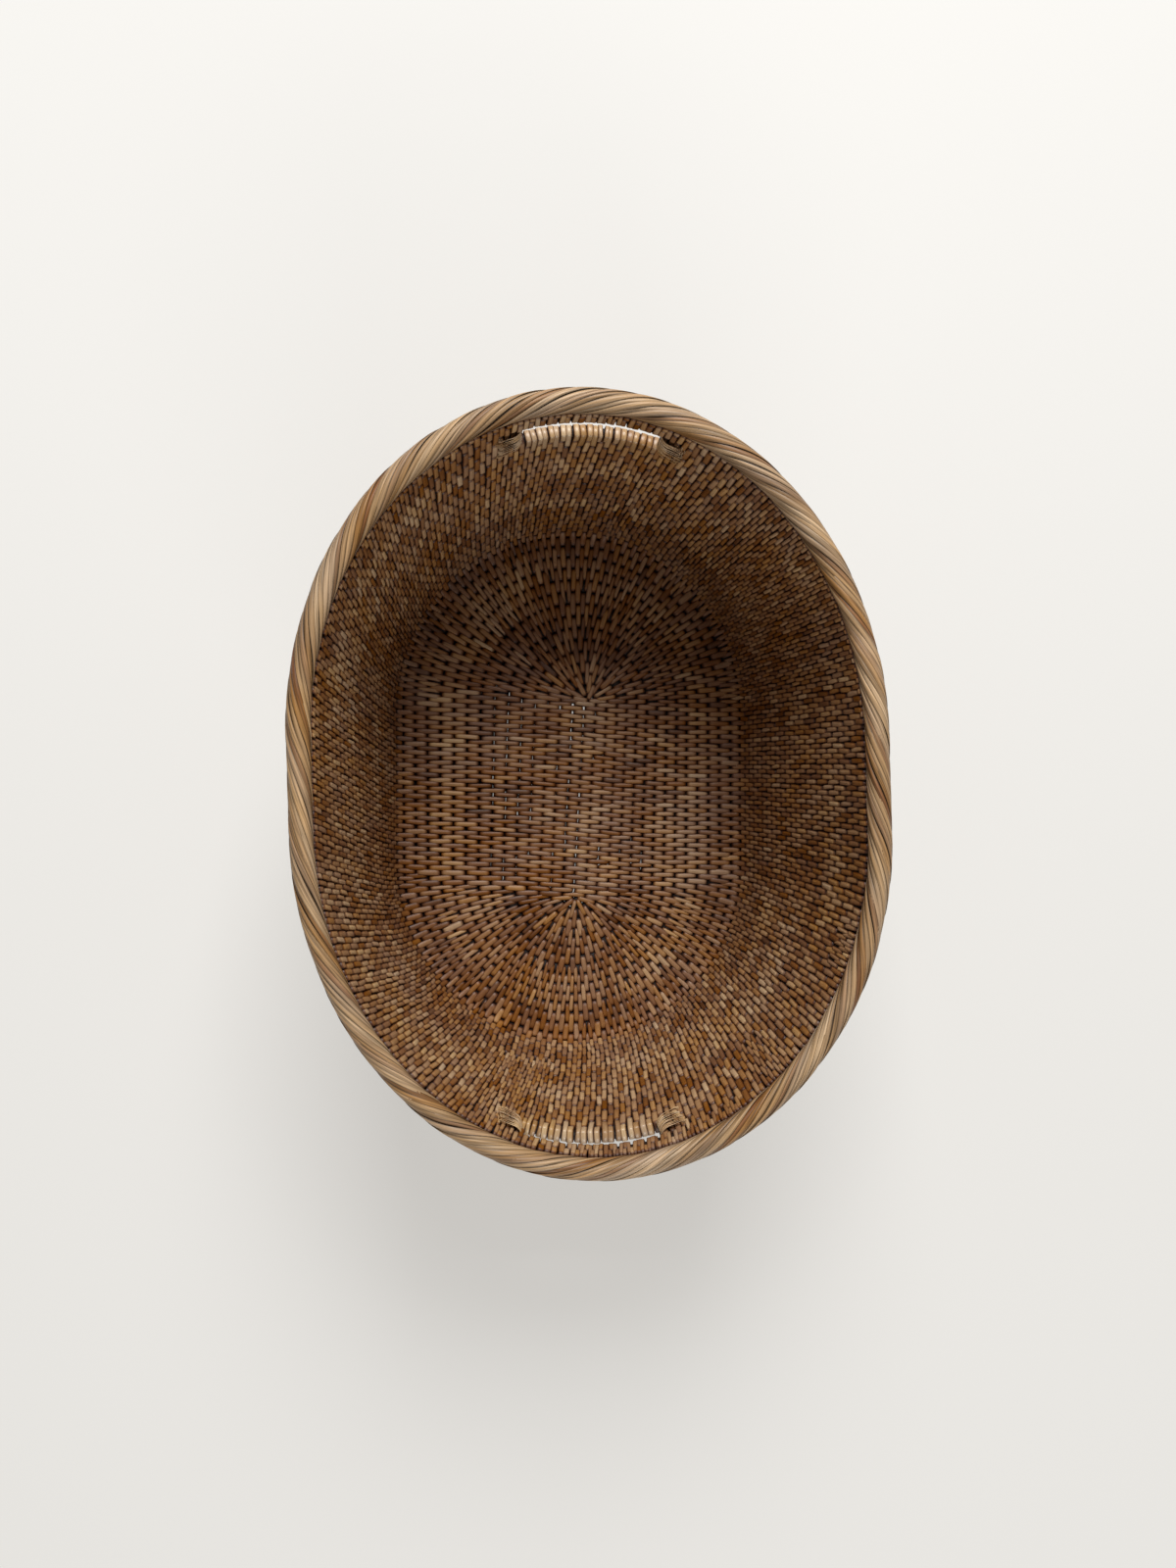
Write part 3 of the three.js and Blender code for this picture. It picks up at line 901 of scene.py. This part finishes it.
@dataclass(frozen=True)
class LashingStrip:
    """One strip wound once round two rods of the coil, domed on its outer face and narrower at its ends.

    The angles go round the two rods, from the joint on one side over the inner face to the other side. The
    section's points are shares of the width and of the thickness.
    """

    pitch: float
    height: float = 5.25 * MM
    width: float = 4.45 * MM
    thickness: float = 1.3 * MM
    end_gap: float = 0.1 * MM
    end_width_share: float = 0.93
    squareness: float = 0.45
    angles: tuple[float, ...] = (0, 32, 62, 90, 90, 118, 148, 180, 222, 268, 272, 318)
    first_rod_angles: tuple[int, ...] = (0, 1, 2, 3, 11)
    top_share: float = 0.05
    section_shares: tuple[tuple[float, float], ...] = (
        (-0.5, -0.3), (-0.4, 0.32), (0, 0.43), (0.4, 0.32), (0.5, -0.3)
    )

    def build(self) -> Piece:
        """Makes the strip as a closed loop. It lies across x, along y, and stands up in z.

        Returns:
            The strip.
        """
        angles = np.radians(self.angles)
        first_rod = np.isin(np.arange(len(angles)), self.first_rod_angles)
        half, depth = self.pitch / 2, self.thickness / 2
        out = np.stack([np.cos(angles), np.sin(angles)], axis=1)
        side, rise = (np.sign(out) * np.abs(out) ** self.squareness).T
        ends = np.where(np.abs(side) > self.top_share, np.sign(side), np.where(first_rod, 1, -1))
        reach = ends * half + side * (half - self.end_gap - depth)
        loop = np.stack([reach, rise * (self.height - depth)], axis=1)
        taper = 1 - (1 - self.end_width_share) * side**2
        section = np.array(self.section_shares)
        across = section[:, 0] * self.width
        points = np.empty((len(angles), len(section), 3))
        points[..., 0] = across * taper[:, None]
        points[..., 1:] = loop[:, None] + out[:, None] * (section[:, 1] * self.thickness)[None, :, None]
        sides = len(section)
        ring, spoke = np.meshgrid(np.arange(len(angles)), np.arange(sides), indexing="ij")
        after, beside = (ring + 1) % len(angles), (spoke + 1) % sides
        corners = [(ring, spoke), (after, spoke), (after, beside), (ring, beside)]
        faces = np.stack([r * sides + k for r, k in corners], axis=-1).reshape(-1, 4)
        places = {"across": np.tile(across, len(angles)), "along": np.repeat(loop[:, 0], sides)}
        return add_object("strip", plain_mesh("strip", points.reshape(-1, 3), faces=faces, **places))


class Hold(Enum):
    """What a stitch goes round: two rods, or only the one on this side of a slot, or nothing."""

    BOTH = 0
    LOWER = 1
    UPPER = 2
    NONE = 3


@dataclass
class Lashing:
    """The stitches that lash each turn of the coil to the one before, in a brick pattern."""

    coil: Coil
    spacing: float = 7.5 * MM
    crowding_share: float = 0.2
    breadth_range: tuple[float, float] = (0.85, 1.25)
    breadth_spread: float = 0.05
    reach_spread: float = 0.025
    least_reach_share: float = 0.25
    corner_reach: float = 20 * MM
    corner_widening: float = 0.14
    wall_narrowing: float = 0.11
    floor_lean: float = math.radians(0.5)
    wall_lean: float = math.radians(4.8)
    lean_swing: float = math.radians(3.6)
    lean_climb_from: float = 0.7
    most_leaning: float = 0.5
    lean_spread: float = math.radians(3)
    roll_spread: float = math.radians(5)
    height_spread: float = 0.08
    floor_tone: float = 0.45
    wall_tone: float = 0.6
    tone_climb_from: float = 0.9
    tone_spread: float = 0.13
    corner_shade_tone: float = -0.18
    corner_shade_reach: float = 24 * MM
    run_stitches: float = 34.0
    run_tone_spread: float = 0.1
    above_top: float = 4.5 * MM
    least_joint_share: float = 0.1
    least_middle_share: float = 0.2
    steps: int = 90000
    steps_past_top: float = 3.0
    stitches_past_top: float = 1.75
    square_width: float = 4.4 * MM
    seed: int = 7
    parts: dict[str, float] = field(
        default_factory=lambda: {
            "floor_lashing": 13.5,
            "corner_lashing": 20.0,
            "lower_wall_lashing": 26.4,
            "upper_wall_lashing": 32.6,
            "top_lashing": 42.0,
        }
    )

    def crossings(self) -> tuple[Array, Array, int]:
        """Finds where the stitches cross the joints between turns.

        Each goes halfway between two stitches of the turn before, and where those have spread too far
        apart, two go in.

        Returns:
            The places in turns, the room round each, and how many at the start only mirror others.
        """
        form, coil = self.coil.form, self.coil
        grid = np.linspace(0, coil.turns + self.steps_past_top, self.steps)
        joints = np.maximum(coil.joint(grid), self.least_joint_share * coil.pitch)
        run = run_along(form.point(grid, joints))
        drift = (form.slant(grid, joints) + self.lean(grid, joints)) * coil.pitch
        count = round(2 * form.core_half_length / self.spacing)
        first = (np.arange(count) + 0.5) / count * form.straight_share
        mirrored = 0.5 + form.straight_share - first[::-1]
        places = list(np.interp([*first, *mirrored], grid, run))
        room = [self.spacing] * len(places)

        def fill(near: float, far: float) -> None:
            """Puts stitches evenly between two lengths along the coil.

            Args:
                near: The lesser length.
                far: The greater length.
            """
            number = max(1, round((far - near) / self.spacing + self.crowding_share))
            places.extend(near + (far - near) * (k + 0.5) / number for k in range(number))
            room.extend([(far - near) / number] * number)

        fill(places[-1], float(np.interp(1 + first[0], grid, run)))
        end = float(np.interp(coil.turns + self.stitches_past_top, grid, run))
        i = 0
        while places[-1] < end:
            after = np.interp(places[i : i + 2], run, grid) + 1
            near, far = np.interp(after, grid, run) + np.interp(after, grid, drift)
            fill(float(near), float(far))
            i += 1
        return np.interp(places, run, grid), np.array(room), count

    def hold(self, turns: float) -> tuple[Hold, str | None]:
        """Finds what a stitch goes round, by its level above the lowest joint of a slot.

        Args:
            turns: The stitch's place.

        Returns:
            What it goes round, and the name of the slot's edge that it covers.
        """
        for end in End:
            nearest = round(turns - end.value)
            away = abs(turns - end.value - nearest)
            level = nearest - self.coil.first_cut
            if away < self.coil.slot_edge and -1 <= level <= self.coil.slot_turns + 1:
                edge = "head" if level >= self.coil.slot_turns else "edge"
                kinds = {-1: Hold.BOTH, 0: Hold.LOWER, 1: Hold.NONE, 2: Hold.UPPER, 3: Hold.BOTH}
                return kinds[level], f"slot_{edge}_strips_{end.name.lower()}"
        return Hold.BOTH, None

    def layout(self) -> dict[str, dict[str, Array]]:
        """Lays out all the stitches.

        Returns:
            Their places and attributes, for each piece that they make up.
        """
        form, pitch = self.coil.form, self.coil.pitch
        turns, room, count = self.crossings()
        placed = np.ones(len(turns), dtype=bool)
        placed[count : 2 * count] = False
        random = np.random.default_rng(self.seed)
        run = np.cumsum(random.random(len(turns)) < 1 / self.run_stitches)
        run_tone = random.normal(0, self.run_tone_spread, run[-1] + 1)[run]
        joint = self.coil.joint(turns)
        tone = self.tone(joint) + run_tone + random.normal(0, self.tone_spread, len(turns))
        holds = [self.hold(at) for at in turns]
        kinds = np.array([kind for kind, _ in holds])
        low, high = joint - pitch * (kinds != Hold.UPPER), joint + pitch * (kinds != Hold.LOWER)
        low = np.where(turns % 0.5 > form.straight_share, np.maximum(low, 0), low)
        high = np.minimum(high, form.top_edge + self.above_top)
        middle, length = (low + high) / 2, high - low
        placed &= (kinds != Hold.NONE) & (length > self.least_reach_share * pitch)
        square = form.slant(turns, np.maximum(middle, self.least_middle_share * pitch))
        stitches = {
            "points": np.stack([turns % 1, middle, np.zeros(len(turns))], axis=1),
            "reach": length / (2 * pitch) * random.normal(1, self.reach_spread, len(turns)),
            "breadth": self.breadth(joint, room) * random.normal(1, self.breadth_spread, len(turns)),
            "lean": square + self.lean(turns, joint),
            "tone": np.clip(tone, 0, 1),
            "shade": random.random(len(turns)),
        }
        owners = np.array([edge or self.owner(at) for at, (_, edge) in zip(turns, holds)])
        return {
            name: {label: values[placed & (owners == name)] for label, values in stitches.items()}
            for name in dict.fromkeys(owners.tolist())
        }

    def tone(self, along: Array) -> Array:
        """Tone of the stitches: paler on the wall, and darker in the corner as painted shade.

        Args:
            along: Length along the profile.

        Returns:
            Places in the finish's range of tones.
        """
        climb = np.clip(along / self.coil.form.floor_half_width - self.tone_climb_from, 0, 1)
        from_corner = (along - self.coil.form.floor_half_width) / self.corner_shade_reach
        paler = self.floor_tone + (self.wall_tone - self.floor_tone) * climb
        # Painted shade: darker round the corner between the floor and the wall
        return paler + self.corner_shade_tone * np.exp(-(from_corner**2))

    def breadth(self, along: Array, room: Array) -> Array:
        """Share of a strip's full width: by the room that it has, more in the corner, less on the wall.

        Args:
            along: Length along the profile.
            room: Room that each stitch has along the coil.

        Returns:
            The shares.
        """
        beyond = (along - self.coil.form.floor_half_width) / self.corner_reach
        place = 1 + self.corner_widening * np.exp(-(beyond**2)) - self.wall_narrowing * np.clip(beyond, 0, 1)
        return np.clip(room / self.spacing, *self.breadth_range) * place

    def lean(self, turns: Array, along: Array) -> Array:
        """Slope of the stitches against a line square to the rods: more on the wall, most on one side.

        Args:
            turns: Turns of the coil from its start.
            along: Length along the profile.

        Returns:
            The slopes.
        """
        climb = np.clip(along / self.coil.form.floor_half_width - self.lean_climb_from, 0, 1)
        on_wall = self.wall_lean + self.lean_swing * np.cos(2 * math.pi * (turns - self.most_leaning))
        return np.tan(self.floor_lean + (on_wall - self.floor_lean) * climb)

    def owner(self, turns: float) -> str:
        """Name of the piece that a stitch belongs to."""
        return next(name for name, last in self.parts.items() if turns < last)

    def build(self, recipe: LashingRecipe, materials: dict[str, Material]) -> dict[str, Piece]:
        """Makes the stitches.

        Args:
            recipe: Lays strips on the form.
            materials: The strips' materials by use.

        Returns:
            The pieces by name.
        """
        common = LashingStrip(self.coil.pitch).build()
        square = LashingStrip(self.coil.pitch, width=self.square_width, end_width_share=1.0).build()
        sheet = FormSurface(self.coil.form).build()
        pieces = {}
        for name, stitches in self.layout().items():
            points = stitches.pop("points")
            start = plain_mesh(name, points, **stitches)
            numbers = start.attributes.new("number", "INT", "POINT")
            numbers.data.foreach_set("value", np.arange(len(points), dtype=np.int32))
            values = {
                "Strip": square if name.startswith("slot") else common,
                "Form": sheet,
                "Lean spread": self.lean_spread,
                "Roll spread": self.roll_spread,
                "Height spread": self.height_spread,
                "Seed": self.seed,
                "Material": materials["worn" if name.startswith("slot_edge") else "lashing"],
            }
            pieces[name] = recipe.grow(name, start, values)
            LOG.info("%s: %d stitches", name, len(points))
        for helper in (common, square, sheet):
            bpy.data.meshes.remove(helper.data)
        return pieces


@dataclass
class Rim(Swept):
    """The rim: a round core rod and the strips wound slantwise round it.

    Sways and wanders are waves round the basket, each with its size, and lump_waves only their numbers.
    """

    diameter: float = 17 * MM
    outset: float = 4 * MM
    clearance: float = 0.3 * MM
    coil_gap: float = 0.4 * MM
    core_cover_share: float = 1.4
    core_sides: int = 12
    strips: int = 14
    windings: int = 11
    strip_width: float = 4.3 * MM
    strip_thickness: float = 1.0 * MM
    strip_step: float = 2.6 * MM
    strip_sides: int = 6
    steps: int = 2001
    sways: tuple[tuple[int, float, float], ...] = ((1, -0.2, 0.12), (3, 0.0, 0.05))
    wanders: tuple[tuple[int, float], ...] = ((2, 0.06), (5, 0.04), (11, 0.03))
    lump: float = 0.45 * MM
    lump_waves: tuple[int, ...] = (5, 9, 14)
    overlap: float = 0.35 * MM
    thinning: float = 0.06
    width_spread: float = 0.14
    width_waves: int = 7
    core_tone: float = 0.3
    tone_balance: tuple[float, float] = (2.0, 1.5)
    seed: int = 5

    @cached_property
    def along(self) -> float:
        """Length along the profile to the middle of the rim, which rests on the wall's top edge."""
        ridge = self.diameter / 2 + self.clearance
        return self.coil.form.top_edge - self.coil_gap / 2 + math.sqrt(ridge**2 - self.outset**2)

    def line(self) -> tuple[Array, Array, Array, Array]:
        """Takes even steps round the rim.

        Returns:
            The share of a turn, the rim's middle, and the upward and inward directions at each step.
        """
        form = self.coil.form
        fine = np.linspace(0, 1, self.steps)
        run = run_along(form.point(fine, self.along, -self.outset))
        count = round(run[-1] / self.strip_step)
        turns = np.interp(np.arange(count) / count * run[-1], run, fine)
        middle = form.point(turns, self.along, -self.outset)
        _, up, inward = form.directions(turns, np.full(count, self.along))
        return np.arange(count) / count, middle, unit(up), inward

    def girth(self, share: Array) -> Array:
        """Thickness of the rim round the basket, a little less at the front."""
        return 1 - self.thinning * (1 - np.cos(2 * math.pi * (share - End.REAR.value)))

    def core(self) -> list[Path]:
        """Path of the core rod, which closes on itself."""
        share, middle, _, inward = self.line()
        return [Path(middle[::2], inward[::2], self.girth(share[::2]), self.core_tone, closed=True)]

    def winding(self) -> list[Path]:
        """Winds the strips round the core rod.

        Returns:
            The path of each strip, which closes on itself.
        """
        share, middle, up, inward = self.line()
        random = np.random.default_rng(self.seed)
        sway = sum(size * wave(share, waves, shift) for waves, shift, size in self.sways)
        paths = []
        for i in range(self.strips):
            angle = 2 * math.pi * (i / self.strips + self.windings * share + sway)
            for waves, size in self.wanders:
                angle += size * wave(share, waves, random.random())
            lumps = sum(wave(share, waves, random.random()) for waves in self.lump_waves)
            radius = self.girth(share) * (self.diameter - self.strip_thickness) / 2
            radius += self.lump * lumps / len(self.lump_waves) + self.overlap * (i % 2 - 0.5)
            facing = np.cos(angle)[:, None] * inward + np.sin(angle)[:, None] * up
            girth = 1 + self.width_spread * wave(share, self.width_waves, random.random())
            tone, shade = float(random.beta(*self.tone_balance)), float(random.random())
            paths.append(Path(middle + facing * radius[:, None], facing, girth, tone, shade, closed=True))
        return paths

    def plans(self) -> Plans:
        """The core rod and the strips.

        Returns:
            The two pieces to make.
        """
        core = self.diameter - self.core_cover_share * self.strip_thickness - 2 * self.lump
        return {
            "rim_core": (self.core(), core, core, self.core_sides),
            "rim_strips": (self.winding(), self.strip_width, self.strip_thickness, self.strip_sides),
        }


@dataclass
class SlotBindings(Swept):
    """Thin strips wound over the rod ends at both ends of each hand slot, with their ends tucked in.

    A strip's depth is 0 at the slot's end and 1 where it lies on the face, and depth_shares go with
    depth_places, from the strip's middle to its end.
    """

    strips: int = 10
    strip_width: float = 3.1 * MM
    strip_thickness: float = 0.7 * MM
    strip_sides: int = 6
    margin: float = 0.5 * MM
    clearance: float = 0.4 * MM
    cover: float = 8.0 * MM
    cover_range: tuple[float, float] = (0.96, 1.06)
    depth_places: tuple[float, ...] = (0, 0.12, 0.25, 0.4, 0.85, 1)
    depth_shares: tuple[float, ...] = (0, 0.55, 0.88, 1, 0.9, 0.7)
    bend_share: float = 0.12
    reach_range: tuple[float, float] = (0.9, 1.1)
    fan_share: float = 1.4
    droop: float = 4 * MM
    droop_power: float = 1.5
    inner_turns: float = 0.004
    inner_share: float = 0.5
    least_tone: float = 0.65
    tone_spread: float = 0.3
    steps: int = 19
    seed: int = 3

    def paths(self, end: End, side: int) -> list[Path]:
        """Lays the strips from the inner face over the slot's end to the outer face.

        Args:
            end: The end of the basket.
            side: -1 before the slot's middle along the coil, and 1 past it.

        Returns:
            The path of each strip.
        """
        coil, random = self.coil, np.random.default_rng(self.seed + side + round(10 * end.value))
        half = coil.pitch * coil.slot_turns / 2
        middle = coil.pitch * (coil.first_cut - 0.5 + end.value) + half
        place = np.linspace(-1, 1, self.steps)
        away = np.abs(place)
        depth = np.sign(place) * np.interp(away, self.depth_places, self.depth_shares)
        straight = np.clip(away * (1 + self.bend_share) - self.bend_share, 0, 1)
        paths = []
        for i in range(self.strips):
            offset = ((i + 0.5) * 2 / self.strips - 1) * (half - self.margin)
            reach = straight * random.uniform(*self.reach_range)
            distance = coil.slot_length / 2 + self.clearance + reach * coil.binding_length
            share = np.array([coil.share_from_slot(at) for at in distance])
            turns = end.value + side * share
            spread = 1 + (self.fan_share - 1) * np.sqrt(reach)
            droop = self.droop * reach**self.droop_power
            along = middle + offset * spread + coil.pitch * side * share - droop
            lift = self.cover * depth * random.uniform(*self.cover_range)
            points = coil.form.point(turns, along, lift)
            inner = coil.form.point(turns + side * self.inner_turns, along, lift * self.inner_share)
            tone = self.least_tone + self.tone_spread * random.random()
            paths.append(Path(points, unit(points - inner), tone=tone, shade=random.random()))
        return paths

    def plans(self) -> Plans:
        """Plans the four bindings.

        Returns:
            The pieces to make, named after the CAD nodes that they stand for.
        """
        size, found = (self.strip_width, self.strip_thickness, self.strip_sides), {}
        for end in End:
            before, past = ("right", "left") if end is End.FRONT else ("left", "right")
            for side, hand in ((-1, before), (1, past)):
                name = f"slot_binding_{end.name.lower()}_{hand}_strips"
                found[name] = (self.paths(end, side), *size)
        return found


@dataclass
class Studio:
    """Pale floor, soft light and a camera above the basket."""

    camera_place: tuple[float, float, float] = (-70 * MM, -8 * MM, 1120 * MM)
    camera_target: tuple[float, float, float] = (-4 * MM, 0, 249 * MM)
    lens: float = 30.0
    long_side: float = 36.0
    floor_size: float = 8.0
    floor_colour: str = "D9D8D5"
    floor_roughness: float = 0.9
    floor_glow: float = 0.42
    glow_colour: str = "FFFBF4"
    sky_colour: str = "F7F9FC"
    sky_strength: float = 0.24
    lamps: tuple[tuple[str, tuple[float, float, float], float, float], ...] = (
        ("soft_window", (0.1, 2.2, 2.3), 1.6, 108.0),
        ("soft_fill", (0.5, -3.1, 1.6), 1.6, 46.0),
    )

    def build(self) -> None:
        """Makes the floor, the lamps, the sky and the camera, and shows colours as they are."""
        bpy.context.scene.view_settings.view_transform = "Standard"
        self.floor()
        self.light()
        self.camera()

    def floor(self) -> None:
        """Makes the floor, which shows pale to the camera also in the deep shade under the basket."""
        half = self.floor_size / 2
        corners = [(-half, -half, 0), (half, -half, 0), (half, half, 0), (-half, half, 0)]
        sheet = add_object("studio_floor", plain_mesh("studio_floor", corners, faces=[(0, 1, 2, 3)]))
        material = bpy.data.materials.new("matt_floor_paint")
        material.use_nodes = True
        tree = material.node_tree
        add = partial(add_node, tree)
        paint = tree.nodes["Principled BSDF"]
        paint.inputs["Base Color"].default_value = linear(self.floor_colour)
        paint.inputs["Roughness"].default_value = self.floor_roughness
        rays = add("ShaderNodeLightPath").outputs
        seen = rays["Is Camera Ray"]
        for kind in ("Is Glossy Ray", "Is Transmission Ray"):
            seen = add("ShaderNodeMath", (seen, rays[kind]), operation="MAXIMUM")
        share = add("ShaderNodeMath", (seen, self.floor_glow), operation="MULTIPLY")
        glow = add("ShaderNodeEmission", {"Color": linear(self.glow_colour), "Strength": 1.0})
        mix = add("ShaderNodeMixShader", (share, paint, glow))
        tree.links.new(mix.outputs[0], tree.nodes["Material Output"].inputs["Surface"])
        sheet.data.materials.append(material)

    def light(self) -> None:
        """Makes a wide soft lamp beyond the rear end, a weaker one beyond the front, and an even sky."""
        for name, place, size, power in self.lamps:
            data = bpy.data.lights.new(name, "AREA")
            data.size, data.energy = size, power
            lamp = add_object(name, data)
            lamp.location = place
            lamp.rotation_euler = (-Vector(place)).to_track_quat("-Z", "Y").to_euler()
        world = bpy.data.worlds.new("soft_room")
        world.use_nodes = True
        sky = world.node_tree.nodes["Background"].inputs
        sky["Color"].default_value = linear(self.sky_colour)
        sky["Strength"].default_value = self.sky_strength
        bpy.context.scene.world = world

    def camera(self) -> None:
        """Makes the camera that looks down into the basket, with the rear end at the top of its picture."""
        data = bpy.data.cameras.new("camera")
        data.sensor_fit, data.sensor_height, data.lens = "VERTICAL", self.long_side, self.lens
        camera = add_object("camera", data)
        place = Vector(self.camera_place)
        back = (place - Vector(self.camera_target)).normalized()
        right = Vector((0, 1, 0)).cross(back).normalized()
        turned = Matrix((right, back.cross(right), back)).transposed().to_4x4()
        camera.matrix_world = Matrix.Translation(place) @ turned
        bpy.context.scene.camera = camera


def settle(piece: Piece, slot: str, *nodes: str) -> None:
    """Joins a piece to the basket.

    Args:
        piece: The finished piece.
        slot: Not used.
        nodes: The CAD nodes that it stands for.
    """
    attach(piece, "root")
    if nodes:
        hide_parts(*nodes)
    LOG.info("%s: %d faces", piece.name, len(piece.data.polygons))


def main() -> None:
    """Builds the basket piece by piece, then the studio."""
    logging.basicConfig(level=logging.INFO, format="%(message)s")
    Studio().build()
    coil, sweep = Coil(BasketForm()), SweepRecipe()
    materials = {"lashing": LASHING_STRIP.build(), "worn": WORN_STRIP.build()}
    nodes = sorted(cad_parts)
    rods = CoilRods(coil).build(sweep, SHADED_COIL_ROD.build())
    on_floor = [node for node in nodes if node.startswith("floor_coil")]
    on_wall = [node for node in nodes if "coil_rod" in node and node not in on_floor]
    settle(rods["floor_coil_rods"], "rattan_coil", *on_floor)
    settle(rods["wall_coil_rods"], "rattan_coil", *on_wall)
    for name, piece in Lashing(coil).build(LashingRecipe(), materials).items():
        edge = name.startswith("slot_edge")
        settle(piece, "rattan_strip", *([name.replace("strips", "wrap")] if edge else []))
    for name, piece in SlotBindings(coil).build(sweep, materials["worn"]).items():
        settle(piece, "rattan_strip", name.removesuffix("_strips"))
    rim = Rim(coil).build(sweep, RIM_STRIP.build())
    settle(rim["rim_core"], "rattan_core", "rim_core_rod")
    settle(rim["rim_strips"], "rim_strip", "rim_wrap")


if __name__ == "__main__":
    main()
